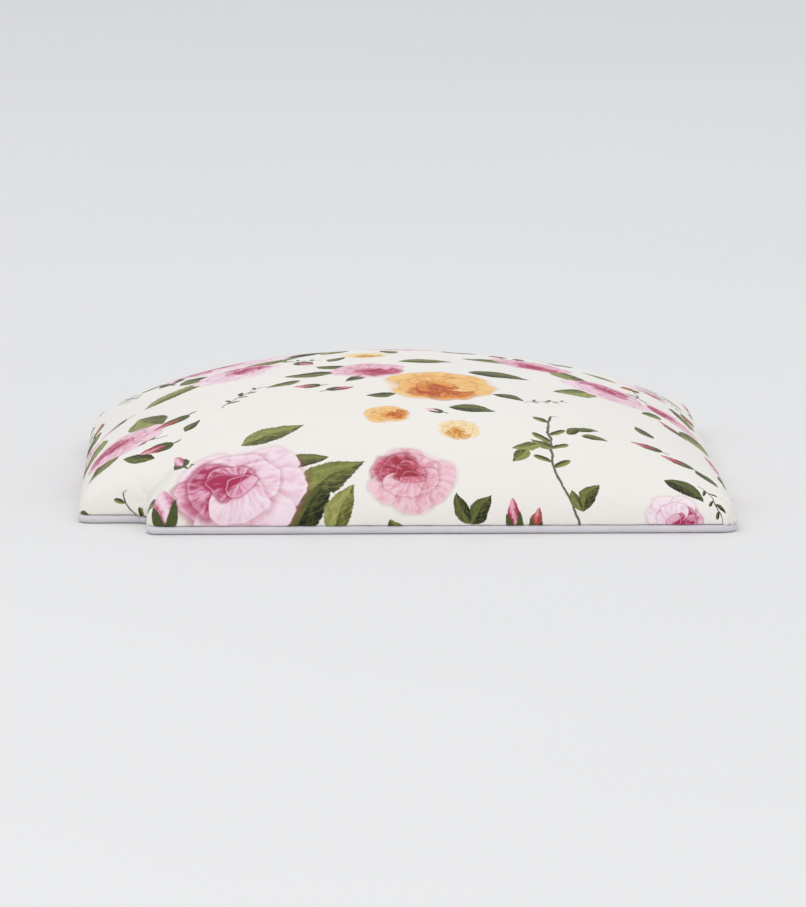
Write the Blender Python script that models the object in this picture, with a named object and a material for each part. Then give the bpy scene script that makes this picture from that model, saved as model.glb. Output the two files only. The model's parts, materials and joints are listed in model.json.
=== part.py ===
"""Upholstered seat pad for a wooden dining chair.

A plywood board carries a crowned foam block and a wadding layer. A fabric cover is pulled over them and
stapled underneath, with a welt round its bottom edge and a black dust cover over the staples. The two
rear corners are notched to fit round the chair's back posts, and four tee nuts take the seat screws.

Frame: origin at the middle of the underside, +X to the sitter's left, -Y to the front, +Z up, metres.
"""

from math import asin, atan2, ceil, cos, pi, sin

import bmesh
import bpy
from mathutils import Matrix, Vector

MM = 0.001

# Overall form
WIDTH = 0.450
DEPTH = 0.400
HEIGHT = 0.076
FRONT_CORNER = 0.012
SMALL_CORNER = 0.008
LEAST_CORNER = 0.002
MOST_CORNER = 0.022
NOTCH_WIDTH = 0.046
NOTCH_DEPTH = 0.042
DOME_POWER = 2.0
EDGE_POWER = 1.9
RIM_POWER = 8
NOTCH_FALL = 0.050

# Heights of the layers, from the underside up
GAP = 0.3 * MM
DUST_THICK = 1.2 * MM
TAIL_LOW = DUST_THICK + GAP
TAIL_THICK = 0.9 * MM
FLANGE_LOW = TAIL_LOW + TAIL_THICK + GAP
COVER_THICK = 1.0 * MM
BOARD_LOW = FLANGE_LOW + COVER_THICK + GAP
BOARD_THICK = 9.0 * MM
BOARD_TOP = BOARD_LOW + BOARD_THICK
FOAM_LOW = BOARD_TOP + GAP
DOME_BASE = 5.4 * MM

# Distances in from the outline
WELT_RADIUS = 2.5 * MM
COVER_INSET = 0.5 * MM
LEDGE_INSET = 2 * WELT_RADIUS + GAP
BOARD_INSET = LEDGE_INSET + COVER_THICK + 2 * GAP
BATTING_THICK = 5.0 * MM
FLANGE_INSET = 42.0 * MM
TAIL_INSET = 24.0 * MM
DUST_INSET = 10.0 * MM

# Welt
CORD_RADIUS = 1.6 * MM
WELT_SKIN = 0.6 * MM
WELT_SIDES = 8
CORD_SIDES = 6

# Crown booster
BOOSTER_WIDTH = 0.300
BOOSTER_DEPTH = 0.260
BOOSTER_THICK = 0.012
BOOSTER_CORNER = 0.030

# Tee nuts, M6
NUT_PLACES = {"front_left": (0.150, -0.130), "front_right": (-0.150, -0.130),
              "rear_left": (0.125, 0.100), "rear_right": (-0.125, 0.100)}
NUT_FLANGE_RADIUS = 9.5 * MM
NUT_FLANGE_THICK = 1.5 * MM
NUT_BARREL_RADIUS = 3.9 * MM
NUT_BORE_RADIUS = 2.5 * MM
NUT_BARREL_LENGTH = 6.5 * MM
NUT_TOP = BOARD_TOP - GAP
NUT_STEPS = 16
PRONG_COUNT = 4
PRONG_RADIUS = 7.2 * MM
PRONG_SIZE = (2.4 * MM, 1.0 * MM, 4.5 * MM)
DUST_HOLE_RADIUS = 6.0 * MM

# Staples
WIRE_WIDE = 1.2 * MM
WIRE_THICK = 0.5 * MM
STAPLE_CROWN = 10.0 * MM
STAPLE_LEG = 8.0 * MM
COVER_STAPLE_INSET = 33.0 * MM
COVER_STAPLE_LOW = FLANGE_LOW - GAP - WIRE_THICK
DUST_STAPLE_INSET = 17.5 * MM
DUST_STAPLE_LOW = 0.1 * MM
# Number on each edge: front, left, notch rear, notch inner, back, notch inner, notch rear, right
COVER_STAPLES = (5, 4, 1, 1, 4, 1, 1, 4)
DUST_STAPLES = (4, 3, 1, 1, 3, 1, 1, 3)
EDGE_NAMES = ("front", "left", "notch_left_a", "notch_left_b", "back", "notch_right_a", "notch_right_b",
              "right")

# Mesh density
FRONT_ARC_STEPS = 4
SMALL_ARC_STEPS = 2
EDGE_STEP = 0.108
DOME_HEIGHTS = 8

COLLECTION = "chair_seat_pad"
CUTTERS = "cutters"


def clear_scene():
    for obj in list(bpy.data.objects):
        bpy.data.objects.remove(obj, do_unlink=True)
    for name in (COLLECTION, CUTTERS):
        collection = bpy.data.collections.new(name)
        bpy.context.scene.collection.children.link(collection)


def material(name, colour, roughness, metallic=0.0):
    made = bpy.data.materials.new(name)
    made.use_nodes = True
    shader = made.node_tree.nodes["Principled BSDF"]
    shader.inputs["Base Color"].default_value = (*colour, 1)
    shader.inputs["Roughness"].default_value = roughness
    shader.inputs["Metallic"].default_value = metallic
    return made


def add_object(name, mesh, finish):
    obj = bpy.data.objects.new(name, mesh)
    obj.data.materials.clear()
    obj.data.materials.append(finish)
    bpy.data.collections[COLLECTION].objects.link(obj)
    return obj


def add_cutter(name, mesh):
    obj = bpy.data.objects.new(name, mesh)
    obj.hide_render = True
    obj.display_type = "WIRE"
    bpy.data.collections[CUTTERS].objects.link(obj)
    return obj


def cut(obj, cutter):
    boolean = obj.modifiers.new(f"cut_{cutter.name}", "BOOLEAN")
    boolean.operation = "DIFFERENCE"
    boolean.object = cutter


# ---- the notched outline ----

def outline_corners():
    """(x, y, radius, turns outward) of each corner, anticlockwise from above, starting at the front left."""
    x = WIDTH / 2
    y = DEPTH / 2
    notch_x = x - NOTCH_WIDTH
    notch_y = y - NOTCH_DEPTH
    left_half = [(x, -y, FRONT_CORNER, True), (x, notch_y, SMALL_CORNER, True),
                 (notch_x, notch_y, SMALL_CORNER, False), (notch_x, y, SMALL_CORNER, True)]
    right_half = [(-px, py, radius, outward) for px, py, radius, outward in reversed(left_half)]
    return left_half + right_half


def offset_corners(inset):
    """The corners of the outline moved in by inset, with their radii."""
    corners = outline_corners()
    moved = []
    for index, (x, y, radius, outward) in enumerate(corners):
        here = Vector((x, y))
        before = (here - Vector(corners[index - 1][:2])).normalized()
        after = (Vector(corners[(index + 1) % len(corners)][:2]) - here).normalized()
        inward = Vector((-before.y, before.x)) + Vector((-after.y, after.x))
        new_radius = max(radius - inset, LEAST_CORNER) if outward else min(radius + inset, MOST_CORNER)
        moved.append((here + inward * inset, before, after, new_radius, outward))
    return moved


def corner_arc(corner):
    """Points of the rounded corner, from the edge before it to the edge after it."""
    here, before, after, radius, outward = corner
    centre = here - before * radius + after * radius
    first = here - before * radius - centre
    start = atan2(first.y, first.x)
    sweep = pi / 2 if outward else -pi / 2
    steps = FRONT_ARC_STEPS if here.y < -DEPTH / 4 else SMALL_ARC_STEPS
    return [centre + radius * Vector((cos(start + sweep * k / steps), sin(start + sweep * k / steps)))
            for k in range(steps + 1)]


def straight_edges(inset):
    """(start, end) of the straight run after each corner."""
    arcs = [corner_arc(corner) for corner in offset_corners(inset)]
    return [(arc[-1], arcs[(index + 1) % len(arcs)][0]) for index, arc in enumerate(arcs)]


def edge_parts():
    """How many parts each straight run is split in, the same at every inset."""
    return [max(1, ceil((end - start).length / EDGE_STEP)) for start, end in straight_edges(0)]


def outline(inset):
    """Points round the outline moved in by inset. Point k is at the same place round it at every inset."""
    points = []
    edges = straight_edges(inset)
    for corner, (start, end), parts in zip(offset_corners(inset), edges, edge_parts()):
        points += corner_arc(corner)
        points += [start.lerp(end, part / parts) for part in range(1, parts)]
    return points


def plate_outline(inset):
    """The same outline with nothing between its corners."""
    return [point for corner in offset_corners(inset) for point in corner_arc(corner)]


def flat_ring(inset, height):
    return [Vector((x, y, height)) for x, y in outline(inset)]


# ---- the crowned top ----

def crown(x, y, share):
    """Height of the dome at a point, from 0 at the outline to 1 at its middle. share is how far out it is."""
    across = 1 - min(1, abs(x) / (WIDTH / 2)) ** DOME_POWER
    along = 1 - min(1, abs(y) / (DEPTH / 2)) ** DOME_POWER
    off_notch = Vector((max(0, WIDTH / 2 - NOTCH_WIDTH - abs(x)), max(0, DEPTH / 2 - NOTCH_DEPTH - y))).length
    notch_share = 1 - min(1, off_notch / NOTCH_FALL)
    pillow = (across * along) ** (1 / DOME_POWER) * (1 - notch_share ** 2) ** 0.5
    edge_roll = (1 - min(1, share) ** EDGE_POWER) ** (1 / EDGE_POWER)
    rim = share ** RIM_POWER
    return (1 - rim) * pillow + rim * edge_roll


def share_at(x, y, level):
    """How far out along the ray to (x, y) the dome falls to a level between 0 and 1."""
    near = 0.0
    far = 1.0
    for _ in range(40):
        middle = (near + far) / 2
        if crown(x * middle, y * middle, middle) > level:
            near = middle
        else:
            far = middle
    return far


def dome_ring(inset, top, height):
    """The ring where a dome of this inset and top height is at a given height."""
    level = (height - DOME_BASE) / (top - DOME_BASE)
    full = outline(COVER_INSET)
    return [Vector((x * share, y * share, height))
            for (x, y), share in zip(outline(inset), (share_at(px, py, level) for px, py in full))]


def dome_rings(inset, top, lowest):
    """Rings up the dome, from its lowest to just under its top, closer together near the top."""
    rise = top - lowest
    return [dome_ring(inset, top, lowest + rise * sin(pi / 2 * step / DOME_HEIGHTS))
            for step in range(DOME_HEIGHTS)]


def loft(name, rings, finish, low_pole=None, high_pole=None):
    """One skin through rings of equal point count. It closes on its poles or, without them, on itself."""
    mesh = bpy.data.meshes.new(name)
    shape = bmesh.new()
    rows = [[shape.verts.new(point) for point in ring] for ring in rings]
    count = len(rows[0])
    pairs = list(zip(rows, rows[1:]))
    if low_pole is None:
        pairs.append((rows[-1], rows[0]))
    for first, second in pairs:
        # Every layer splits its faces along the same diagonal, so that close layers stay clear.
        low, high = (first, second) if first[0].co.z < second[0].co.z else (second, first)
        for k in range(count):
            following = (k + 1) % count
            shape.faces.new((low[k], low[following], high[following]))
            shape.faces.new((low[k], high[following], high[k]))
    for pole, row in ((low_pole, rows[0]), (high_pole, rows[-1])):
        if pole is not None:
            tip = shape.verts.new(pole)
            for k in range(count):
                shape.faces.new((row[k], row[(k + 1) % count], tip))
    bmesh.ops.recalc_face_normals(shape, faces=shape.faces)
    shape.to_mesh(mesh)
    shape.free()
    mesh.shade_smooth()
    mesh.set_sharp_from_angle(angle=pi / 5)
    return add_object(name, mesh, finish)


# ---- shapes shared by the small pieces ----

def plate_mesh(name, points, low, high):
    """A flat piece of this outline between two heights."""
    curve = bpy.data.curves.new(name, "CURVE")
    curve.dimensions = "2D"
    curve.fill_mode = "BOTH"
    curve.extrude = (high - low) / 2
    spline = curve.splines.new("POLY")
    spline.points.add(len(points) - 1)
    for target, (x, y) in zip(spline.points, points):
        target.co = (x, y, 0, 1)
    spline.use_cyclic_u = True
    drawn = bpy.data.objects.new(name, curve)
    bpy.context.scene.collection.objects.link(drawn)
    graph = bpy.context.evaluated_depsgraph_get()
    mesh = bpy.data.meshes.new_from_object(drawn.evaluated_get(graph))
    bpy.data.objects.remove(drawn)
    bpy.data.curves.remove(curve)
    shape = bmesh.new()
    shape.from_mesh(mesh)
    bmesh.ops.remove_doubles(shape, verts=shape.verts, dist=0.01 * MM)
    bmesh.ops.translate(shape, verts=shape.verts, vec=(0, 0, (low + high) / 2))
    bmesh.ops.recalc_face_normals(shape, faces=shape.faces)
    shape.to_mesh(mesh)
    shape.free()
    return mesh


def turned_mesh(name, profile, steps):
    """A turned body from the (radius, height) points of its section, closed unless it starts on the axis."""
    mesh = bpy.data.meshes.new(name)
    shape = bmesh.new()
    points = [shape.verts.new((radius, 0, height)) for radius, height in profile]
    on_axis = profile[0][0] == 0
    following = points[1:] if on_axis else points[1:] + points[:1]
    for first, second in zip(points, following):
        shape.edges.new((first, second))
    bmesh.ops.spin(shape, geom=shape.verts[:] + shape.edges[:], cent=(0, 0, 0), axis=(0, 0, 1),
                   angle=2 * pi, steps=steps, use_merge=True)
    bmesh.ops.remove_doubles(shape, verts=shape.verts, dist=0.01 * MM)
    bmesh.ops.recalc_face_normals(shape, faces=shape.faces)
    shape.to_mesh(mesh)
    shape.free()
    return mesh


def cylinders_mesh(name, places, radius, low, high):
    """Upright round bars of one size at each (x, y)."""
    mesh = bpy.data.meshes.new(name)
    shape = bmesh.new()
    for x, y in places:
        matrix = Matrix.Translation((x, y, (low + high) / 2))
        bmesh.ops.create_cone(shape, cap_ends=True, segments=NUT_STEPS, radius1=radius, radius2=radius,
                              depth=high - low, matrix=matrix)
    shape.to_mesh(mesh)
    shape.free()
    return mesh


def boxes_mesh(name, boxes):
    """Separate boxes, each given as its centre's matrix and its size."""
    mesh = bpy.data.meshes.new(name)
    shape = bmesh.new()
    for matrix, size in boxes:
        bmesh.ops.create_cube(shape, size=1, matrix=matrix @ Matrix.Diagonal((*size, 1)))
    shape.to_mesh(mesh)
    shape.free()
    return mesh


# ---- staples ----

def staple_places(inset, counts):
    """(edge name, number, matrix) of each staple, its crown along the edge at height 0."""
    places = []
    # The first edge of the list starts at the front left corner, so the front edge is the last one.
    edges = straight_edges(inset)
    edges = edges[-1:] + edges[:-1]
    for edge_name, (start, end), count in zip(EDGE_NAMES, edges, counts):
        turn = Matrix.Rotation(atan2((end - start).y, (end - start).x), 4, "Z")
        for k in range(count):
            x, y = start.lerp(end, (k + 0.5) / count)
            places.append((f"{edge_name}_{k + 1}", Matrix.Translation((x, y, 0)) @ turn))
    return places


def staple_mesh():
    """A U of flat wire with its crown at the bottom and its legs up, the crown's underside at height 0."""
    half = STAPLE_CROWN / 2
    inner = half - WIRE_THICK
    points = [(-half, 0), (half, 0), (half, STAPLE_LEG), (inner, STAPLE_LEG), (inner, WIRE_THICK),
              (-inner, WIRE_THICK), (-inner, STAPLE_LEG), (-half, STAPLE_LEG)]
    mesh = plate_mesh("staple", points, -WIRE_WIDE / 2, WIRE_WIDE / 2)
    mesh.transform(Matrix.Rotation(pi / 2, 4, "X"))
    return mesh


def leg_boxes(places, low):
    """Clearance round both legs of each staple, from well below its crown to past its tips."""
    size = (WIRE_THICK + 2 * GAP, WIRE_WIDE + 2 * GAP, STAPLE_LEG + 2 * MM)
    height = low + STAPLE_LEG + GAP - size[2] / 2
    reach = (STAPLE_CROWN - WIRE_THICK) / 2
    return [(place @ Matrix.Translation((side * reach, 0, height)), size)
            for _, place in places for side in (-1, 1)]


def crown_boxes(places, low):
    """Clearance round each crown, open at the underside."""
    size = (STAPLE_CROWN + 2 * GAP, WIRE_WIDE + 2 * GAP, WIRE_THICK + GAP + MM)
    height = low + WIRE_THICK + GAP - size[2] / 2
    return [(place @ Matrix.Translation((0, 0, height)), size) for _, place in places]


def make_staples(prefix, places, low, mesh, finish):
    for name, place in places:
        staple = add_object(f"{prefix}_{name}", mesh, finish)
        staple.matrix_world = Matrix.Translation((0, 0, low)) @ place


# ---- tee nuts ----

def nut_profile():
    """(radius, height) section of a tee nut: a wide flange on top and a barrel below it."""
    under = NUT_TOP - NUT_FLANGE_THICK
    return [(NUT_BORE_RADIUS, NUT_TOP), (NUT_FLANGE_RADIUS, NUT_TOP), (NUT_FLANGE_RADIUS, under),
            (NUT_BARREL_RADIUS, under), (NUT_BARREL_RADIUS, under - NUT_BARREL_LENGTH),
            (NUT_BORE_RADIUS, under - NUT_BARREL_LENGTH)]


def prong_boxes(x, y, clearance):
    """The prongs that bite into the board, hanging from the flange."""
    boxes = []
    size = [side + 2 * clearance for side in PRONG_SIZE]
    for k in range(PRONG_COUNT):
        turn = Matrix.Rotation(2 * pi * (k + 0.5) / PRONG_COUNT, 4, "Z")
        height = NUT_TOP - NUT_FLANGE_THICK / 2 - PRONG_SIZE[2] / 2
        boxes.append((Matrix.Translation((x, y, height)) @ turn @ Matrix.Translation((PRONG_RADIUS, 0, 0))
                      @ Matrix.Rotation(pi / 2, 4, "Z"), size))
    return boxes


def make_tee_nuts(finish):
    nut = turned_mesh("tee_nut", nut_profile(), NUT_STEPS)
    prongs = add_cutter("prongs", boxes_mesh("prongs", prong_boxes(0, 0, 0)))
    for name, (x, y) in NUT_PLACES.items():
        obj = add_object(f"tee_nut_{name}", nut, finish)
        union = obj.modifiers.new("prongs", "BOOLEAN")
        union.operation = "UNION"
        union.object = prongs
        # The Boolean works in world space, so the body is joined at the middle and then moved to its place.
        graph = bpy.context.evaluated_depsgraph_get()
        joined = bpy.data.meshes.new_from_object(obj.evaluated_get(graph))
        obj.modifiers.clear()
        obj.data = joined
        obj.location = (x, y, 0)


def nut_cutters():
    """A stepped hole and four prong slots at each tee nut, the second set as its own cutter."""
    mesh = bpy.data.meshes.new("nut_holes")
    shape = bmesh.new()
    under = NUT_TOP - NUT_FLANGE_THICK - GAP
    wide = NUT_FLANGE_RADIUS + GAP
    narrow = NUT_BARREL_RADIUS + GAP
    section = [(0, BOARD_TOP + MM), (wide, BOARD_TOP + MM), (wide, under), (narrow, under),
               (narrow, BOARD_LOW - MM), (0, BOARD_LOW - MM)]
    bar = turned_mesh("nut_hole", section, NUT_STEPS)
    for x, y in NUT_PLACES.values():
        moved = bar.copy()
        moved.transform(Matrix.Translation((x, y, 0)))
        shape.from_mesh(moved)
        bpy.data.meshes.remove(moved)
    shape.to_mesh(mesh)
    shape.free()
    slots = [box for x, y in NUT_PLACES.values() for box in prong_boxes(x, y, GAP)]
    return add_cutter("nut_holes", mesh), add_cutter("prong_slots", boxes_mesh("prong_slots", slots))


# ---- the main pieces ----

def make_board(finish, staple_legs):
    board = add_object("base_board", plate_mesh("base_board", plate_outline(BOARD_INSET), BOARD_LOW, BOARD_TOP),
                       finish)
    for cutter in (*nut_cutters(), staple_legs):
        cut(board, cutter)


def booster_outline(grow):
    """A round-cornered rectangle, larger by grow on every side."""
    half_x = BOOSTER_WIDTH / 2 + grow
    half_y = BOOSTER_DEPTH / 2 + grow
    radius = BOOSTER_CORNER + grow
    points = []
    for quarter, (sx, sy) in enumerate(((1, 1), (-1, 1), (-1, -1), (1, -1))):
        for step in range(5):
            angle = pi / 2 * (quarter + step / 4)
            points.append((sx * (half_x - radius) + radius * cos(angle),
                           sy * (half_y - radius) + radius * sin(angle)))
    return points


def make_fillings(foam, wadding):
    booster_top = FOAM_LOW + BOOSTER_THICK
    add_object("crown_booster", plate_mesh("crown_booster", booster_outline(0), FOAM_LOW, booster_top), foam)
    pocket = add_cutter("booster_pocket", plate_mesh("booster_pocket", booster_outline(GAP), FOAM_LOW - MM,
                                                     booster_top + GAP))
    cover_top = HEIGHT - COVER_THICK
    batting_top = cover_top - GAP
    batting_inset = COVER_INSET + COVER_THICK + GAP
    hollow_inset = BOARD_INSET - GAP
    hollow_top = batting_top - BATTING_THICK
    foam_inset = BOARD_INSET + GAP
    foam_top = hollow_top - 2 * GAP
    body = loft("main_foam", dome_rings(foam_inset, foam_top, FOAM_LOW), foam,
                low_pole=(0, 0, FOAM_LOW), high_pole=(0, 0, foam_top))
    cut(body, pocket)

    skirt_low = DOME_BASE + COVER_THICK + GAP
    outside = dome_rings(batting_inset, batting_top, skirt_low)
    inside = dome_rings(hollow_inset, hollow_top, FOAM_LOW + GAP)
    skirt = [flat_ring(hollow_inset, skirt_low), flat_ring(hollow_inset, FOAM_LOW + GAP)]
    loft("batting_wrap", outside[::-1] + skirt + inside, wadding,
         low_pole=(0, 0, batting_top), high_pole=(0, 0, hollow_top))


def make_cover(finish, staple_legs):
    ledge_top = DOME_BASE + COVER_THICK
    inner_wall = LEDGE_INSET + COVER_THICK
    outside = dome_rings(COVER_INSET, HEIGHT, DOME_BASE)
    inside = dome_rings(COVER_INSET + COVER_THICK, HEIGHT - COVER_THICK, ledge_top)
    turned_under = [flat_ring(LEDGE_INSET, DOME_BASE), flat_ring(LEDGE_INSET, FLANGE_LOW),
                    flat_ring(FLANGE_INSET, FLANGE_LOW), flat_ring(FLANGE_INSET, FLANGE_LOW + COVER_THICK),
                    flat_ring(inner_wall, FLANGE_LOW + COVER_THICK), flat_ring(inner_wall, ledge_top)]
    cover = loft("seat_cover", outside[::-1] + turned_under + inside, finish,
                 low_pole=(0, 0, HEIGHT), high_pole=(0, 0, HEIGHT - COVER_THICK))
    cut(cover, staple_legs)


def welt_arc(radius, first_height, last_height):
    """(inset, height) points the long way round the welt's centre, between two heights on its inner side."""
    start = asin((first_height - WELT_RADIUS) / radius)
    sweep = 2 * pi + start - asin((last_height - WELT_RADIUS) / radius)
    return [(WELT_RADIUS + radius * cos(start - sweep * k / WELT_SIDES),
             WELT_RADIUS + radius * sin(start - sweep * k / WELT_SIDES)) for k in range(WELT_SIDES + 1)]


def make_welt(fabric, string, staple_legs):
    """A cord inside a folded bias strip, whose two free edges lie together as a tail under the cover."""
    turns = [2 * pi * k / CORD_SIDES for k in range(CORD_SIDES)]
    cord = [flat_ring(WELT_RADIUS + CORD_RADIUS * cos(turn), WELT_RADIUS + CORD_RADIUS * sin(turn))
            for turn in turns]
    loft("welt_cord", cord, string)
    layer = (TAIL_THICK - GAP) / 2
    tail_top = TAIL_LOW + TAIL_THICK
    section = [(TAIL_INSET, TAIL_LOW + layer), (TAIL_INSET, TAIL_LOW)]
    section += welt_arc(WELT_RADIUS, TAIL_LOW, tail_top)
    section += [(TAIL_INSET, tail_top), (TAIL_INSET, tail_top - layer)]
    section += welt_arc(WELT_RADIUS - WELT_SKIN, TAIL_LOW + layer, tail_top - layer)[::-1]
    tape = loft("welt_cover", [flat_ring(inset, height) for inset, height in section], fabric)
    cut(tape, staple_legs)


def make_dust_cover(finish, staple_room):
    sheet = plate_mesh("dust_cover", plate_outline(DUST_INSET), 0, DUST_THICK)
    cloth = add_object("dust_cover", sheet, finish)
    holes = cylinders_mesh("punched_holes", NUT_PLACES.values(), DUST_HOLE_RADIUS, -MM, DUST_THICK + MM)
    cut(cloth, add_cutter("punched_holes", holes))
    for cutter in staple_room:
        cut(cloth, cutter)


def main():
    clear_scene()
    print_cloth = material("print_cloth", (0.87, 0.80, 0.76), 0.85)
    welt_cloth = material("welt_cloth", (0.86, 0.85, 0.88), 0.80)
    foam = material("foam", (0.86, 0.80, 0.58), 0.95)
    wadding = material("wadding", (0.92, 0.92, 0.90), 1.0)
    plywood = material("plywood", (0.62, 0.44, 0.26), 0.6)
    cambric = material("cambric", (0.02, 0.02, 0.022), 0.9)
    cotton = material("cotton_cord", (0.85, 0.82, 0.75), 0.9)
    zinc = material("zinc_steel", (0.62, 0.63, 0.64), 0.35, metallic=1.0)

    cover_places = staple_places(COVER_STAPLE_INSET, COVER_STAPLES)
    dust_places = staple_places(DUST_STAPLE_INSET, DUST_STAPLES)
    cover_legs = leg_boxes(cover_places, COVER_STAPLE_LOW)
    dust_legs = leg_boxes(dust_places, DUST_STAPLE_LOW)
    dust_crowns = crown_boxes(dust_places, DUST_STAPLE_LOW)
    all_legs = add_cutter("all_staple_legs", boxes_mesh("all_staple_legs", cover_legs + dust_legs))
    dust_leg_room = add_cutter("dust_staple_legs", boxes_mesh("dust_staple_legs", dust_legs))
    crown_room = add_cutter("dust_staple_crowns", boxes_mesh("dust_staple_crowns", dust_crowns))

    make_board(plywood, all_legs)
    make_fillings(foam, wadding)
    make_cover(print_cloth, all_legs)
    make_welt(welt_cloth, cotton, dust_leg_room)
    make_dust_cover(cambric, (crown_room, dust_leg_room))
    make_tee_nuts(zinc)
    wire = staple_mesh()
    make_staples("cover_staple", cover_places, COVER_STAPLE_LOW, wire, zinc)
    make_staples("dust_staple", dust_places, DUST_STAPLE_LOW, wire, zinc)


main()
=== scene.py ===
"""Looks of an upholstered dining chair seat pad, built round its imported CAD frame."""

import json
import math

import bmesh
import bpy
import numpy as np
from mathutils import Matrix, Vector, geometry


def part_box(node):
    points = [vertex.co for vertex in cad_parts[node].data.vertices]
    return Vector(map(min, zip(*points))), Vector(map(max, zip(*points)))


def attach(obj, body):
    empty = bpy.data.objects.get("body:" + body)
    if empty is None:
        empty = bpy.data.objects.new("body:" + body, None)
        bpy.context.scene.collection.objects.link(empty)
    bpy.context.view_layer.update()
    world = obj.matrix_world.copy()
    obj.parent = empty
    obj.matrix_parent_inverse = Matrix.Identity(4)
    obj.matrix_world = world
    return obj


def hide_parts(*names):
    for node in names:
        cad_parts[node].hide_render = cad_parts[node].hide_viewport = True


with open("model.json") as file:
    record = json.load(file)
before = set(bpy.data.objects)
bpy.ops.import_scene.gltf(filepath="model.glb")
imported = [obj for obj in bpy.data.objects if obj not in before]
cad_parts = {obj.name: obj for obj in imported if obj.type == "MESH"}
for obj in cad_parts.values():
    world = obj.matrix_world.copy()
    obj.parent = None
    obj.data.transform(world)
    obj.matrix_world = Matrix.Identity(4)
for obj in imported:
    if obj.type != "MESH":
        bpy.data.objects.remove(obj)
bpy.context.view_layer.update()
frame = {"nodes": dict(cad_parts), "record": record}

MM = 0.001

# ---- dimensions read from the frame ----

_, cover_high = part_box("seat_cover")
_, welt_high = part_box("welt_cover")
_, dust_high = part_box("dust_cover")
COVER_GAP = 0.4 * MM
NOTCH_GAP = 0.9 * MM
HALF_X = cover_high.x
HALF_Y = cover_high.y
CROWN_Z = cover_high.z
WELT_RADIUS = welt_high.z / 2
BASE_Z = 2 * WELT_RADIUS + COVER_GAP
NOTCHES = {opening["name"]: opening["box_m"] for opening in frame["record"]["physics"]["openings"]}
NOTCH_X = NOTCHES["back_post_left"][0][0] - NOTCH_GAP
NOTCH_Y = NOTCHES["back_post_left"][0][1] - NOTCH_GAP

# ---- shape of the crowned top ----

FRONT_CORNER = 0.0115
SMALL_CORNER = 0.0075
LEAST_CORNER = 0.002
MOST_CORNER = 0.022
DOME_POWER = 2.0
EDGE_POWER = 1.9
RIM_POWER = 8
NOTCH_FALL = 0.050


def offset_corners(inset):
    """(corner, edge before, edge after, radius, turns outward) round the outline moved in by inset."""
    half = [(HALF_X, -HALF_Y, FRONT_CORNER, True), (HALF_X, NOTCH_Y, SMALL_CORNER, True),
            (NOTCH_X, NOTCH_Y, SMALL_CORNER, False), (NOTCH_X, HALF_Y, SMALL_CORNER, True)]
    corners = half + [(-x, y, radius, outward) for x, y, radius, outward in reversed(half)]
    moved = []
    for index, (x, y, radius, outward) in enumerate(corners):
        here = Vector((x, y))
        before = (here - Vector(corners[index - 1][:2])).normalized()
        after = (Vector(corners[(index + 1) % len(corners)][:2]) - here).normalized()
        inward = Vector((-before.y, before.x)) + Vector((-after.y, after.x))
        new_radius = max(radius - inset, LEAST_CORNER) if outward else min(radius + inset, MOST_CORNER)
        moved.append((here + inward * inset, before, after, new_radius, outward))
    return moved


def outline_pieces(inset):
    """The outline as alternating arcs and straight runs, each a function of a share from 0 to 1."""
    arcs = []
    for here, before, after, radius, outward in offset_corners(inset):
        first = here - before * radius
        centre = first + after * radius
        start = math.atan2(first.y - centre.y, first.x - centre.x)
        arcs.append((centre, radius, start, math.pi / 2 if outward else -math.pi / 2))
    pieces = []
    for index, (centre, radius, start, sweep) in enumerate(arcs):
        next_centre, next_radius, next_start, _ = arcs[(index + 1) % len(arcs)]
        end = start + sweep
        line_start = centre + radius * Vector((math.cos(end), math.sin(end)))
        line_end = next_centre + next_radius * Vector((math.cos(next_start), math.sin(next_start)))
        pieces.append(("arc", centre, radius, start, sweep))
        pieces.append(("line", line_start, line_end))
    return pieces


def piece_length(piece):
    if piece[0] == "arc":
        return piece[2] * abs(piece[4])
    return (piece[2] - piece[1]).length


def piece_point(piece, share):
    if piece[0] == "arc":
        _, centre, radius, start, sweep = piece
        return centre + radius * Vector((math.cos(start + sweep * share), math.sin(start + sweep * share)))
    return piece[1].lerp(piece[2], share)


def perimeter_shares(steps):
    """(piece, share) of evenly spread points, with a point at the middle of each of the four main corners.

    The main corners are the two front ones and the two inside corners of the notches.
    """
    pieces = outline_pieces(0)
    lengths = [piece_length(piece) for piece in pieces]
    starts = np.concatenate([[0], np.cumsum(lengths)])
    whole = starts[-1]
    front_left, inner_left, inner_right, front_right = 0, 4, 10, 14
    anchors = [starts[k] + lengths[k] / 2 for k in (front_left, inner_left, inner_right, front_right)]
    anchors.append(anchors[0] + whole)
    found = []
    for low, high in zip(anchors, anchors[1:]):
        for k in range(steps):
            along = (low + (high - low) * k / steps) % whole
            index = int(np.searchsorted(starts, along, side="right")) - 1
            found.append((index, (along - starts[index]) / lengths[index]))
    return found


def outline_points(inset, shares):
    pieces = outline_pieces(inset)
    return np.array([piece_point(pieces[index], share) for index, share in shares])


OUTLINE_TABLE = outline_points(0, perimeter_shares(600))
OUTLINE_ANGLES = np.arctan2(OUTLINE_TABLE[:, 1], OUTLINE_TABLE[:, 0])
OUTLINE_ORDER = np.argsort(OUTLINE_ANGLES)
OUTLINE_REACH = np.hypot(OUTLINE_TABLE[:, 0], OUTLINE_TABLE[:, 1])


def share_out(x, y):
    """How far out a point is, from 0 in the middle to 1 on the outline."""
    reach = np.interp(np.arctan2(y, x), OUTLINE_ANGLES[OUTLINE_ORDER], OUTLINE_REACH[OUTLINE_ORDER],
                      period=2 * math.pi)
    return np.minimum(1, np.hypot(x, y) / reach)


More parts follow.
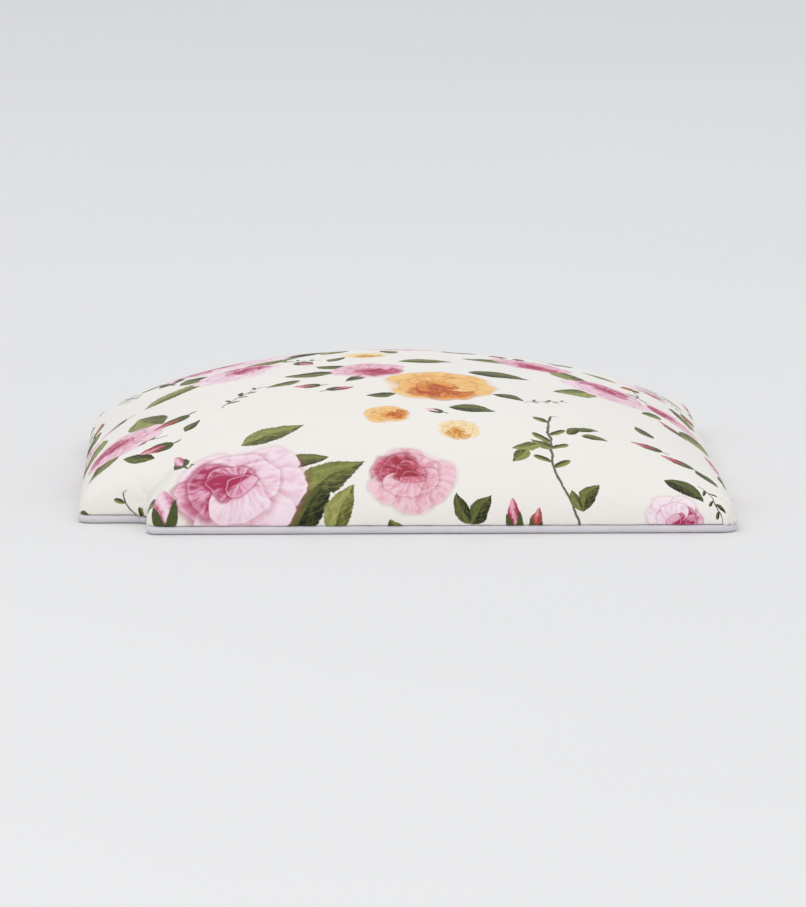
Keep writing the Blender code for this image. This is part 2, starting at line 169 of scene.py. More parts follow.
def crown_height(x, y, share):
    """Height of the cover's outside over each point."""
    across = 1 - np.minimum(1, np.abs(x) / HALF_X) ** DOME_POWER
    along = 1 - np.minimum(1, np.abs(y) / HALF_Y) ** DOME_POWER
    off_notch = np.hypot(np.maximum(0, NOTCH_X - np.abs(x)), np.maximum(0, NOTCH_Y - y))
    notch = np.sqrt(1 - (1 - np.minimum(1, off_notch / NOTCH_FALL)) ** 2)
    pillow = (across * along) ** (1 / DOME_POWER) * notch
    edge_roll = (1 - share ** EDGE_POWER) ** (1 / EDGE_POWER)
    rim = share ** RIM_POWER
    return BASE_Z + (CROWN_Z - BASE_Z) * ((1 - rim) * pillow + rim * edge_roll)


# ---- materials ----

class Number:
    """A number inside a material's node tree, which adds nodes when it is used in a sum."""

    def __init__(self, paint, socket):
        self.paint = paint
        self.socket = socket

    def __add__(self, other):
        return self.paint.math("ADD", self, other)

    def __radd__(self, other):
        return self.paint.math("ADD", other, self)

    def __sub__(self, other):
        return self.paint.math("SUBTRACT", self, other)

    def __rsub__(self, other):
        return self.paint.math("SUBTRACT", other, self)

    def __mul__(self, other):
        return self.paint.math("MULTIPLY", self, other)

    def __rmul__(self, other):
        return self.paint.math("MULTIPLY", other, self)

    def __truediv__(self, other):
        return self.paint.math("DIVIDE", self, other)

    def __abs__(self):
        return self.paint.math("ABSOLUTE", self)


class Paint:
    """The nodes of one material, ending in a Principled shader."""

    def __init__(self, name, roughness, metallic=0.0, sheen=0.0, specular=0.5):
        self.material = bpy.data.materials.new(name)
        self.material.use_nodes = True
        self.tree = self.material.node_tree
        self.shader = self.tree.nodes["Principled BSDF"]
        self.shader.inputs["Roughness"].default_value = roughness
        self.shader.inputs["Metallic"].default_value = metallic
        self.shader.inputs["Sheen Weight"].default_value = sheen
        self.shader.inputs["Specular IOR Level"].default_value = specular

    def node(self, kind, **settings):
        made = self.tree.nodes.new(kind)
        for key, value in settings.items():
            setattr(made, key, value)
        return made

    def put(self, node, key, value):
        socket = node.inputs[key]
        if isinstance(value, Number):
            self.tree.links.new(value.socket, socket)
        elif isinstance(value, bpy.types.NodeSocket):
            self.tree.links.new(value, socket)
        elif isinstance(value, tuple) and len(value) == 3 and socket.type == "RGBA":
            socket.default_value = (*value, 1)
        else:
            socket.default_value = value

    def math(self, operation, *values):
        made = self.node("ShaderNodeMath", operation=operation)
        for index, value in enumerate(values):
            self.put(made, index, value)
        return Number(self, made.outputs[0])

    def smooth(self, value, low, high):
        """0 below low, 1 above high, and a soft step between. With low above high it falls instead."""
        made = self.node("ShaderNodeMapRange", interpolation_type="SMOOTHSTEP")
        for key, given in zip(("Value", "From Min", "From Max"), (value, low, high)):
            self.put(made, key, given)
        return Number(self, made.outputs[0])

    def vector(self, operation, *values, output=0):
        made = self.node("ShaderNodeVectorMath", operation=operation)
        for index, value in enumerate(values):
            self.put(made, index, value)
        return made.outputs[output]

    def split(self, vector):
        made = self.node("ShaderNodeSeparateXYZ")
        self.put(made, 0, vector)
        return [Number(self, output) for output in made.outputs]

    def mix(self, factor, first, second):
        """A colour between two colours."""
        made = self.node("ShaderNodeMix", data_type="RGBA")
        self.put(made, 0, factor)
        self.put(made, 6, first)
        self.put(made, 7, second)
        return made.outputs[2]

    def multiply(self, factor, first, second):
        made = self.node("ShaderNodeMix", data_type="RGBA", blend_type="MULTIPLY")
        self.put(made, 0, factor)
        self.put(made, 6, first)
        self.put(made, 7, second)
        return made.outputs[2]

    def line(self, x, y, by_x, by_y, start):
        """x * by_x + y * by_y + start"""
        return self.math("MULTIPLY_ADD", x, by_x, self.math("MULTIPLY_ADD", y, by_y, start))

    def ramp(self, value, stops):
        """A colour from (position, colour) stops."""
        made = self.node("ShaderNodeValToRGB")
        elements = made.color_ramp.elements
        while len(elements) < len(stops):
            elements.new(1.0)
        for element, (place, colour) in zip(elements, stops):
            element.position = place
            element.color = (*colour, 1)
        self.put(made, 0, value)
        return made.outputs[0]

    def noise(self, vector, scale, detail=2.0, roughness=0.5):
        """(number, colour) of a noise texture at a scale in cycles per metre or per unit of vector."""
        made = self.node("ShaderNodeTexNoise")
        self.put(made, "Vector", vector)
        self.put(made, "Scale", scale)
        self.put(made, "Detail", detail)
        self.put(made, "Roughness", roughness)
        return Number(self, made.outputs[0]), made.outputs[1]

    def bump(self, height, distance, strength=1.0, normal=None):
        made = self.node("ShaderNodeBump")
        self.put(made, "Height", height)
        self.put(made, "Distance", distance)
        self.put(made, "Strength", strength)
        if normal is not None:
            self.put(made, "Normal", normal)
        return made.outputs[0]

    def place(self):
        """The point in object space, which is the row's frame in metres."""
        return self.node("ShaderNodeTexCoord").outputs["Object"]

    def finish(self, colour, normal=None, roughness=None):
        self.put(self.shader, "Base Color", colour)
        if normal is not None:
            self.put(self.shader, "Normal", normal)
        if roughness is not None:
            self.put(self.shader, "Roughness", roughness)
        return self.material


def from_hex(code):
    """A linear colour from a six-digit sRGB code."""
    shares = [int(code[k:k + 2], 16) / 255 for k in (0, 2, 4)]
    return tuple(s / 12.92 if s <= 0.04045 else ((s + 0.055) / 1.055) ** 2.4 for s in shares)


# ---- the print ----

# The print repeats on the flat cloth. U runs across the seat and V from front to back, from the middle.
REPEAT_U = 0.300
REPEAT_V = 0.400
CLOTH_SPAN = 0.640
UV_NAME = "OFBake"

# Tints: 0 pale pink, 0.33 pink with crimson, 0.66 yellow, 1 orange
# (u mm, v mm, radius mm, turn degrees, tint)
ROSES = [
    (-214, 101, 36, -86, 0.09), (-213, -3, 23, -122, 0.36), (-80, -22, 30, 10, 1.0),
    (-162, -32, 11, 0, 0.70), (-141, 11, 12, 100, 0.97), (-38, 21, 20, 60, 0.34),
    (-28, -134, 25, 200, 0.16), (-18, -178, 18, 300, 0.30), (24, -84, 22, 30, 0.33),
    (-236, -161, 15, 90, 0.0), (10, 104, 24, 160, 0.10), (-104, 178, 24, 250, 0.24),
    (28, 22, 13, 30, 0.66),
]
# (u mm, v mm, half length mm, turn degrees of the tip from +U towards +V, tint)
BUDS = [
    (-226, 148, 18, 4, 0.12), (-172, 139, 11, 15, 0.28), (-134, -17, 7, 60, 0.04),
    (-73, 60, 9, 80, 0.36), (-86, 39, 9, -75, 0.36), (-98, 146, 13, 120, 0.38),
    (-144, 154, 11, 100, 0.36), (-240, -64, 11, 8, 0.34), (-243, -78, 9, -8, 0.40),
    (-153, -149, 10, 72, 0.37), (-168, -167, 11, 68, 0.38), (-240, -197, 13, -14, 0.46),
    (-70, -172, 11, 40, 0.36), (6, 60, 11, 200, 0.34), (-14, 190, 12, 90, 0.20),
    (30, -150, 11, 150, 0.95),
]
# (u mm, v mm, half length mm, turn degrees, tint from dark green to light olive)
BIG_LEAVES = [
    (-160, 82, 23, -62, 0.50), (-232, 59, 26, -30, 0.02), (-214, 48, 27, -52, 0.40),
    (-128, -42, 15, -97, 0.10), (-42, -62, 20, -97, 0.08), (-6, -16, 18, -84, 0.35),
    (-40, 58, 17, 84, 0.20), (-2, 142, 28, -62, 0.62), (-211, -168, 15, -128, 0.0),
    (-58, -192, 28, 152, 0.60), (0, -108, 24, 24, 0.50), (18, -58, 19, 100, 0.30),
    (-70, 162, 26, 20, 0.55), (-134, 190, 20, 150, 0.30), (36, 84, 22, 300, 0.45),
    (34, 132, 20, 20, 0.20), (30, -190, 20, 200, 0.35), (-60, -110, 20, 130, 0.65),
]
SMALL_LEAVES = [
    (-196, 62, 15, -82, 0.22), (-236, 40, 19, -22, 0.72), (-190, 129, 9, 22, 0.40),
    (-190, 119, 9, -42, 0.30), (-237, -33, 11, 24, 0.05), (-237, -44, 12, -34, 0.05),
    (-224, -110, 12, -26, 0.20), (-228, -102, 8, 26, 0.30), (-180, -74, 11, 118, 0.62),
    (-190, -70, 10, 150, 0.50), (-176, -84, 9, 60, 0.40), (-150, -104, 8, -30, 0.10),
    (-146, -112, 8, -70, 0.15), (-157, -117, 9, -100, 0.25), (-62, 30, 10, 150, 0.05),
    (-104, 14, 10, 100, 0.10), (-60, 74, 12, 110, 0.30), (-20, 44, 13, 60, 0.15),
    (-182, -186, 12, 220, 0.05), (-120, -150, 10, 30, 0.10), (-54, -160, 12, 150, 0.30),
    (-150, 166, 12, 60, 0.10), (46, 6, 12, 200, 0.30), (14, 40, 11, 330, 0.20),
    (-118, 132, 10, -30, 0.10), (-214, 160, 12, 40, 0.30), (-100, -66, 11, -120, 0.12),
    (44, -130, 13, 70, 0.4),
]
# (u mm, v mm, half length mm, turn degrees, tint)
SPRIGS = [
    (-188, -93, 60, 6, 0.35), (-84, 104, 32, -31, 0.02), (-216, -182, 26, 210, 0.02),
    (-104, -84, 22, -60, 0.10), (-4, -150, 46, 172, 0.50), (-120, 164, 40, 80, 0.20),
    (-216, 172, 40, 15, 0.30), (24, 60, 30, 60, 0.15),
]

CREAM = from_hex("F7F3EC")
ROSE_RIM = [(0.0, from_hex("FBEDF2")), (0.33, from_hex("F5CBDA")), (0.66, from_hex("FBE9BE")),
            (1.0, from_hex("F8CC84"))]
ROSE_MIDDLE = [(0.0, from_hex("EDB4CC")), (0.33, from_hex("CF4F7C")), (0.66, from_hex("F2C572")),
               (1.0, from_hex("EC9A3E"))]
ROSE_DEEP = [(0.0, from_hex("B4305E")), (0.33, from_hex("A01C45")), (0.66, from_hex("D08A34")),
             (1.0, from_hex("BD5216"))]
LEAF_LIGHT = [(0.0, from_hex("666B36")), (0.5, from_hex("9DA056")), (1.0, from_hex("BDB974"))]
LEAF_DARK = [(0.0, from_hex("1C2011")), (0.5, from_hex("454A20")), (1.0, from_hex("6C6D30"))]
TINT_STORE = 0.001
# How wide a motif is for its length, where it competes with its neighbours for the cloth
LEAF_SLIMNESS = 0.46
BUD_SLIMNESS = 0.55
SPRIG_SLIMNESS = 0.40
# From one thread to the next but one
COTTON_PITCH = 0.75 * MM
BIAS_PITCH = 0.8 * MM


def nearest_motif(paint, cloth, motifs, slimness):
    """(x, y, tint, local) in the nearest motif's own frame: x runs -1 to 1 along it, and y across it.

    local holds x, y and a little of the tint. Only vector sockets are used, so that Cycles works
    through one motif at a time and holds few values at once.
    """
    half = (REPEAT_U / 2, REPEAT_V / 2, 1)
    back = tuple(-side for side in half)
    chosen = None
    least = None
    for u, v, size, turn, tint in motifs:
        wrapped = paint.vector("WRAP", paint.vector("SUBTRACT", cloth, (u * MM, v * MM, 0)), half, back)
        cos = math.cos(math.radians(turn)) / (size * MM)
        sin = math.sin(math.radians(turn)) / (size * MM)
        here = paint.node("ShaderNodeCombineXYZ")
        paint.put(here, 0, paint.vector("DOT_PRODUCT", wrapped, (cos, sin, 0), output=1))
        sideways = (-sin / slimness, cos / slimness, 0)
        paint.put(here, 1, paint.vector("DOT_PRODUCT", wrapped, sideways, output=1))
        paint.put(here, 2, tint * TINT_STORE)
        away = Number(paint, paint.vector("LENGTH", here.outputs[0], output=1))
        if chosen is None:
            chosen = here.outputs[0]
            least = away
            continue
        closer = paint.math("LESS_THAN", away, least)
        pick = paint.node("ShaderNodeMix", data_type="VECTOR")
        paint.put(pick, 0, closer)
        paint.put(pick, 4, chosen)
        paint.put(pick, 5, here.outputs[0])
        chosen = pick.outputs[1]
        least = paint.math("MINIMUM", away, least)
    x, y, stored = paint.split(chosen)
    return x, y, stored / TINT_STORE, chosen


# The petals of a rose, from the outermost up, in shares of its radius:
# (x, y, half length, half width, turn degrees, depth of its colour)
PETALS = [
    (-0.46, 0.46, 0.50, 0.50, 134, 0.10), (0.50, 0.40, 0.50, 0.50, 40, 0.05),
    (-0.70, -0.12, 0.42, 0.46, 192, 0.92), (0.70, -0.16, 0.42, 0.44, -14, 0.16),
    (0.38, -0.60, 0.48, 0.48, -58, 0.08), (-0.32, -0.62, 0.50, 0.48, -118, 0.14),
    (-0.08, 0.40, 0.44, 0.52, 96, 0.34), (-0.46, 0.04, 0.46, 0.56, 172, 1.24),
    (0.26, 0.04, 0.44, 0.46, 6, 0.30), (-0.04, -0.32, 0.44, 0.52, -92, 0.22),
    (-0.14, 0.18, 0.28, 0.36, 84, 1.10), (-0.26, 0.00, 0.27, 0.30, 205, 1.34),
    (-0.02, -0.04, 0.24, 0.26, -40, 0.92),
]


def lay_petal(paint, x, y, streaks, tones, under, petal):
    """One painted petal over what is under it: deep at its root, pale towards its tip, and shadowed."""
    centre_x, centre_y, long, wide, turn, depth = petal
    rim, middle, deep = tones
    cos = math.cos(math.radians(turn))
    sin = math.sin(math.radians(turn))
    along = paint.line(x, y, cos / long, sin / long, -(centre_x * cos + centre_y * sin) / long)
    across = paint.line(x, y, -sin / wide, cos / wide, (centre_x * sin - centre_y * cos) / wide)
    taper = paint.math("MULTIPLY_ADD", paint.math("MINIMUM", along, 1.5), -0.45, 1.0)
    out = along * along + across * across * taper
    colour = paint.mix(paint.smooth(out, 1.55, 0.95) * (0.14 + depth * 0.5), under, deep)
    root = paint.smooth(along, 0.45, -0.95)
    body = paint.mix(root * 0.55 + streaks * 0.9 + (depth * 0.9 - 0.42), rim, middle)
    body = paint.mix(paint.smooth(root + streaks * 0.7, 1.40 - depth * 1.1, 1.95 - depth * 1.1), body, deep)
    body = paint.mix(paint.smooth(out, 0.66, 0.86) * (0.75 - depth * 0.45), body, rim)
    body = paint.mix(paint.smooth(out + streaks * 0.2, 0.98, 1.08) * 0.40, body, middle)
    return paint.mix(paint.smooth(out, 1.0, 0.93), colour, body)


def draw_roses(paint, cloth, under):
    x, y, tint, local = nearest_motif(paint, cloth, ROSES, 1.0)
    reach = paint.math("SQRT", x * x + y * y)
    angle = paint.math("ARCTAN2", y, x)
    tones = [paint.ramp(tint, stops) for stops in (ROSE_RIM, ROSE_MIDDLE, ROSE_DEEP)]
    polar = paint.node("ShaderNodeCombineXYZ")
    paint.put(polar, 0, angle * 2.2)
    paint.put(polar, 1, reach * 1.1)
    paint.put(polar, 2, tint * 7)
    streaks, _ = paint.noise(polar.outputs[0], 2.2, 4.0, 0.6)
    streaks = paint.smooth(streaks, 0.25, 0.75)
    _, wander = paint.noise(local, 1.7, 2.0)
    shift_x, shift_y, _ = paint.split(wander)
    x = x + (shift_x - 0.5) * 0.30
    y = y + (shift_y - 0.5) * 0.30

    # A pale wash lies under and a little outside the flower.
    spread = reach + streaks * 0.12
    wash = paint.smooth(spread, 1.22, 0.98) * 0.55
    colour = paint.mix(wash, under, tones[0])
    for petal in PETALS:
        colour = lay_petal(paint, x, y, streaks, tones, colour, petal)
    return paint.mix(paint.smooth(reach, 1.34, 1.24), under, colour)


def draw_leaves(paint, cloth, motifs, under):
    x, y, tint, local = nearest_motif(paint, cloth, motifs, LEAF_SLIMNESS)
    y = y + x * x * 0.30 - 0.12
    teeth = paint.math("FRACT", x * 7 + 10) * (1 - x * x) * 0.07
    wide = (1 - x * x) * (1 - x * 0.30) + teeth
    off_rib = abs(y)
    inside = wide - off_rib
    blotch, _ = paint.noise(local, 2.6, 4.0, 0.6)
    blotch = paint.smooth(blotch, 0.30, 0.70)
    light = paint.ramp(tint, LEAF_LIGHT)
    dark = paint.ramp(tint, LEAF_DARK)
    lit_half = paint.smooth(y, -0.10, 0.14) * 0.58
    colour = paint.mix(lit_half + (blotch - 0.25) * 0.75, dark, light)
    phase = paint.math("FRACT", (x - off_rib * 0.5) * 3.6 + 10)
    vein = paint.smooth(abs(phase - 0.5), 0.14, 0.03) * 0.35
    rib = paint.smooth(off_rib, 0.10, 0.03) * 0.60
    colour = paint.mix(paint.math("MAXIMUM", vein, rib), colour, light)
    colour = paint.mix(paint.smooth(inside, 0.24, 0.0) * (0.75 - blotch * 0.4), colour, dark)
    return paint.mix(paint.smooth(inside, 0.0, 0.09) * paint.smooth(abs(x), 1.04, 1.0), under, colour)


def draw_buds(paint, cloth, under):
    x, y, tint, local = nearest_motif(paint, cloth, BUDS, BUD_SLIMNESS)
    rim = paint.ramp(tint, ROSE_RIM)
    middle = paint.ramp(tint, ROSE_MIDDLE)
    deep = paint.ramp(tint, ROSE_DEEP)
    streaks, _ = paint.noise(local, 4.0, 3.0)
    stem_off = abs(y + (x + 0.8) * (x + 0.8) * 0.35)
    stem = (1 - paint.smooth(stem_off, 0.10, 0.17)) * (1 - paint.smooth(x, -0.7, -0.6))
    stem = stem * paint.smooth(x, -1.6, -1.4)
    green = from_hex("5F6B35")
    dark_green = from_hex("333E1E")
    colour = paint.mix(stem, under, green)
    belly = paint.math("MAXIMUM", 1 - x * x, 0.0)
    wide = paint.math("SQRT", belly) * (1 - x * 0.42) * 0.80
    inside = wide - abs(y)
    fold = paint.smooth(abs(y - x * 0.25), 0.05, 0.5)
    strong = paint.smooth(tint, 0.30, 0.40) * 0.45
    petal = paint.mix(fold * 0.7 + streaks * 0.3 + strong, rim, middle)
    petal = paint.mix(paint.smooth(streaks + fold * 0.4 - x * 0.35 + strong, 0.55, 1.10), petal, deep)
    colour = paint.mix(paint.smooth(inside, 0.0, 0.10), colour, petal)
    sepal_edge = abs(y) * 1.25 - (x + 0.62)
    sepal = paint.smooth(sepal_edge, 0.0, 0.08) * paint.smooth(inside + 0.10, 0.0, 0.08)
    sepal = sepal * paint.smooth(x, 0.25, 0.10) * paint.smooth(x, -1.10, -1.0)
    return paint.mix(sepal, colour, paint.mix(streaks, dark_green, green))


def draw_sprigs(paint, cloth, under):
    x, y, tint, _ = nearest_motif(paint, cloth, SPRIGS, SPRIG_SLIMNESS)
    y = y * SPRIG_SLIMNESS + x * x * 0.16 - 0.07 + paint.math("SINE", x * 6) * 0.02
    bare = paint.math("GREATER_THAN", tint, 0.33)
    on_stem = paint.smooth(x + bare * 0.55, -0.47, -0.43) * (1 - paint.smooth(x, 0.94, 0.99))
    stalk = (1 - paint.smooth(abs(y), 0.008, 0.020)) * on_stem
    light = paint.ramp(tint, LEAF_LIGHT)
    dark = paint.ramp(tint, LEAF_DARK)
    colour = paint.mix(stalk * 0.9, under, dark)
    period = 0.40
    lean = math.radians(46)
    for side, offset in ((1, 0.0), (-1, period / 2)):
        uneven = x + offset + paint.math("SINE", x * 5 + side) * 0.07
        step = paint.math("WRAP", uneven, period / 2, -period / 2) + 0.10
        rise = y * side
        along = (step * math.cos(lean) + rise * math.sin(lean) - 0.13) / 0.115
        across = (rise * math.cos(lean) - step * math.sin(lean)) / 0.046
        out = along * along + across * across
        leaf = (1 - paint.smooth(out, 0.78, 1.02)) * on_stem * paint.smooth(uneven, -0.21, -0.19)
        shade = paint.smooth(across, -0.5, 0.5)
        colour = paint.mix(leaf, colour, paint.mix(shade, dark, light))
    return colour


def print_material():
    """Cream cotton with a watercolour print of roses, buds, leaves and sprigs, drawn on the flat cloth."""
    paint = Paint("print_cloth", roughness=0.86, sheen=0.12, specular=0.25)
    uv = paint.node("ShaderNodeUVMap", uv_map=UV_NAME).outputs[0]
    middle = (-CLOTH_SPAN / 2, -CLOTH_SPAN / 2, 0)
    flat = paint.vector("MULTIPLY_ADD", uv, (CLOTH_SPAN, CLOTH_SPAN, 0), middle)
    _, drift = paint.noise(flat, 55.0, 3.0, 0.6)
    wobble = paint.vector("MULTIPLY_ADD", drift, (0.006, 0.006, 0), (-0.003, -0.003, 0))
    cloth = paint.vector("ADD", flat, wobble)

    ground_tone, _ = paint.noise(flat, 9.0, 2.0)
    colour = paint.mix(ground_tone * 0.5, CREAM, from_hex("EFE8E0"))
    colour = draw_sprigs(paint, cloth, colour)
    colour = draw_leaves(paint, cloth, BIG_LEAVES, colour)
    colour = draw_leaves(paint, cloth, SMALL_LEAVES, colour)
    colour = draw_roses(paint, cloth, colour)
    colour = draw_buds(paint, cloth, colour)

    # Pigment sits unevenly on the threads.
    grain, _ = paint.noise(flat, 420.0, 2.0)
    colour = paint.multiply(grain * 0.16, colour, (0.80, 0.78, 0.78))

    across, along, _ = paint.split(flat)
    thread = 2 * math.pi / COTTON_PITCH
    warp = paint.math("SINE", across * thread)
    weft = paint.math("SINE", along * thread)
    weave = warp * weft
    slubs, _ = paint.noise(flat, 900.0, 1.0)
    normal = paint.bump(weave * 0.5 + slubs, 0.10 * MM, 0.6)
    return paint.finish(colour, normal)


def welt_material():
    """Off-white cotton cut on the bias, so its threads run at an angle round the cord."""
    paint = Paint("welt_cloth", roughness=0.88, sheen=0.15, specular=0.2)
    place = paint.place()
    tone, _ = paint.noise(place, 60.0, 3.0)
    colour = paint.mix(tone, from_hex("D6D2D8"), from_hex("E8E5E8"))
    x, y, z = paint.split(place)
    thread = 2 * math.pi / BIAS_PITCH
    bias = paint.math("SINE", (x + y + z) * thread) * paint.math("SINE", (x - y - z) * thread)
    slubs, _ = paint.noise(place, 700.0, 1.0)
    return paint.finish(colour, paint.bump(bias * 0.5 + slubs, 0.12 * MM, 0.7))


def cambric_material():
    """Black non-woven cloth with the fine pressed dots of its bonding."""
    paint = Paint("cambric", roughness=0.92, sheen=0.2, specular=0.15)
    place = paint.place()
    fibre, _ = paint.noise(place, 260.0, 4.0, 0.7)
    colour = paint.mix(fibre, from_hex("131316"), from_hex("2B2B2F"))
    x, y, _ = paint.split(place)
    pitch = 2 * math.pi / (1.6 * MM)
    dots = paint.smooth(paint.math("SINE", x * pitch) * paint.math("SINE", y * pitch), 0.35, 0.8)
    return paint.finish(colour, paint.bump(fibre - dots * 0.6, 0.15 * MM, 0.8))


def plywood_material():
    """Birch plywood: long grain on its faces and stacked plies along its edges."""
    paint = Paint("plywood", roughness=0.62, specular=0.3)
    place = paint.place()
    stretched = paint.vector("MULTIPLY", place, (1.0, 9.0, 1.0))
    grain, _ = paint.noise(stretched, 22.0, 5.0, 0.6)
    fine, _ = paint.noise(stretched, 160.0, 2.0)
    colour = paint.mix(grain, from_hex("C9A273"), from_hex("E2C59B"))
    _, _, z = paint.split(place)
    ply = paint.math("SINE", z * (2 * math.pi / (2.4 * MM)))
    upright = abs(paint.split(paint.node("ShaderNodeNewGeometry").outputs["Normal"])[2])
    edge = 1 - paint.smooth(upright, 0.3, 0.6)
    colour = paint.mix(paint.smooth(ply, 0.0, 0.5) * edge * 0.7, colour, from_hex("9B7448"))
    return paint.finish(colour, paint.bump(grain + fine * 0.4, 0.2 * MM, 0.5))


def foam_material():
    """Cream open-cell foam."""
    paint = Paint("foam", roughness=0.95, specular=0.1)
    place = paint.place()
    cells, _ = paint.noise(place, 900.0, 2.0)
    tone, _ = paint.noise(place, 18.0, 2.0)
    colour = paint.mix(tone, from_hex("E9DDB4"), from_hex("F2E9C9"))
    return paint.finish(paint.multiply(cells * 0.4, colour, (0.7, 0.66, 0.5)), paint.bump(cells, 0.4 * MM))


def wadding_material():
    """White polyester wadding with long loose fibres."""
    paint = Paint("wadding", roughness=1.0, sheen=0.3, specular=0.1)
    place = paint.place()
    swept = paint.vector("MULTIPLY", place, (1.0, 6.0, 2.0))
    fibre, _ = paint.noise(swept, 120.0, 5.0, 0.7)
    colour = paint.mix(fibre, from_hex("DADADA"), from_hex("FAFAF8"))
    return paint.finish(colour, paint.bump(fibre, 0.8 * MM))


def cord_material():
    """Twisted cotton string, with painted shade in the grooves between its strands."""
    paint = Paint("cotton_cord", roughness=0.9, specular=0.15)
    place = paint.place()
    x, y, z = paint.split(place)
    twist = paint.math("SINE", (x + y + z * 1.6) * (2 * math.pi / (2.2 * MM)))
    # Painted shade: the colour is darker in the grooves between the twisted strands and lighter on their
    # crests.
    colour = paint.mix(paint.smooth(twist, -0.6, 0.6), from_hex("CFC4AC"), from_hex("EDE6D6"))
    return paint.finish(colour, paint.bump(twist, 0.3 * MM))


def zinc_material():
    """Zinc-plated steel, brushed by drawing and slightly dulled."""
    paint = Paint("zinc_steel", roughness=0.34, metallic=1.0)
    place = paint.place()
    drawn, _ = paint.noise(paint.vector("MULTIPLY", place, (8.0, 8.0, 1.0)), 300.0, 2.0)
    bloom, _ = paint.noise(place, 240.0, 3.0)
    colour = paint.mix(bloom, from_hex("A7A9AC"), from_hex("D3D5D6"))
    return paint.finish(colour, paint.bump(drawn, 0.03 * MM), paint.smooth(bloom, 0.1, 1.6) * 0.5 + 0.22)


# ---- the cover ----

COVER_RINGS = 48
COVER_THICK = 0.8 * MM
INSIDE_UV_SCALE = 0.02
SIM_FRAMES = 20
SIM_PRESSURE = 4.0
SIM_REACH = 1.1 * MM
SIM_CAP = 1.6 * MM
LEAST_PADDING = 0.35 * MM
# (height, size across, seed) of the soft swells in the padding
SWELLS = [(0.7 * MM, 0.085, 3), (0.35 * MM, 0.037, 8)]
# The side wall draws in between staples, most at one height over the rim.
WALL_PULL = 0.35 * MM
WALL_HEIGHT = 9 * MM
WALL_SPREAD = 8 * MM
STAPLE_PITCH = 0.034
# (middle degrees, half width degrees, height up the dome, lift) of the pleats round a front corner
PLEATS = [(22, 15, 30 * MM, 1.5 * MM), (47, 13, 38 * MM, 1.7 * MM), (71, 15, 28 * MM, 1.4 * MM)]
NOTCH_PULL = 0.8 * MM
NOTCH_PULL_REACH = 0.030
# How far past a corner's centre its pleats or pulls are looked for
CORNER_MARGIN = 0.02
LEDGE_INSET = 2 * WELT_RADIUS + 0.3 * MM
FLANGE_Z = dust_high.z + 1.65 * MM
# (distance in from the outline, height over the underside) of the turned-under part of the cover
TURN_UNDER = [
    (1.2 * MM, BASE_Z - 0.35 * MM), (3.4 * MM, BASE_Z - 0.25 * MM), (LEDGE_INSET, BASE_Z - 0.6 * MM),
    (LEDGE_INSET + 0.3 * MM, FLANGE_Z + 0.9 * MM), (LEDGE_INSET + 1.6 * MM, FLANGE_Z),
    (14 * MM, FLANGE_Z), (24 * MM, FLANGE_Z + 0.1 * MM), (40 * MM, FLANGE_Z),
]


def hashed(*values):
    """A repeatable value from -1 to 1 for each set of whole numbers."""
    mixed = sum(np.asarray(value) * factor for value, factor in zip(values, (12.9898, 78.233, 37.719)))
    return 2 * np.modf(np.abs(np.sin(mixed) * 43758.5453))[0] - 1


def smooth_noise(x, y, size, seed):
    """Soft bumps about a size across, from -1 to 1."""
    column = np.floor(x / size)
    row = np.floor(y / size)
    fx = x / size - column
    fy = y / size - row
    fx = fx * fx * (3 - 2 * fx)
    fy = fy * fy * (3 - 2 * fy)
    low = hashed(column, row, seed) * (1 - fx) + hashed(column + 1, row, seed) * fx
    high = hashed(column, row + 1, seed) * (1 - fx) + hashed(column + 1, row + 1, seed) * fx
    return low * (1 - fy) + high * fy


def path_length(x, y, along_x):
    """Signed length over the crown from its middle line to each point, at a constant y or x."""
    steps = 120
    total = np.zeros_like(x)
    before_flat = np.zeros_like(x)
    before_height = crown_height(x * (not along_x), y * along_x, share_out(x * (not along_x), y * along_x))
    for k in range(1, steps + 1):
        part = math.sin(math.pi / 2 * k / steps)
        px = x * part if along_x else x
        py = y if along_x else y * part
        height = crown_height(px, py, share_out(px, py))
        flat = px if along_x else py
        total += np.hypot(flat - before_flat, height - before_height)
        before_flat = flat
        before_height = height
    return np.sign(x if along_x else y) * total


def ring_shares(ring):
    """(piece, share) of the points of a square ring of the cover, the outermost the finest."""
    return perimeter_shares(2 * ring)


def cover_points():
    """Rows of the cover's dome and turned-under edge, with the flat-cloth place of every point."""
    rings = [np.array([[0.0, 0.0]])]
    shares_by_ring = [np.array([0.0])]
    for ring in range(1, COVER_RINGS + 1):
        share = math.sin(math.pi / 2 * ring / COVER_RINGS)
        rings.append(outline_points(0, ring_shares(ring)) * share)
        shares_by_ring.append(np.full(8 * ring, share))
    flat = np.concatenate(rings)
    share = np.concatenate(shares_by_ring)
    x, y = flat.T
    height = crown_height(x, y, share)
    cloth = np.column_stack([path_length(x, y, True), path_length(x, y, False)])
    points = np.column_stack([x, y, height])

    rim_shares = ring_shares(COVER_RINGS)
    rim = outline_points(0, rim_shares)
    rim_cloth = cloth[-len(rim):]
    outward = rim - outline_points(1 * MM, rim_shares)
    outward /= np.maximum(np.linalg.norm(outward, axis=1), 1e-9)[:, None]
    before = np.array([0.0, BASE_Z])
    run = 0.0
    for inset, low in TURN_UNDER:
        here = np.array([inset, low])
        run += np.linalg.norm(here - before)
        before = here
        row = outline_points(inset, rim_shares)
        points = np.concatenate([points, np.column_stack([row, np.full(len(row), low)])])
        cloth = np.concatenate([cloth, rim_cloth + outward * run])
    return points, cloth


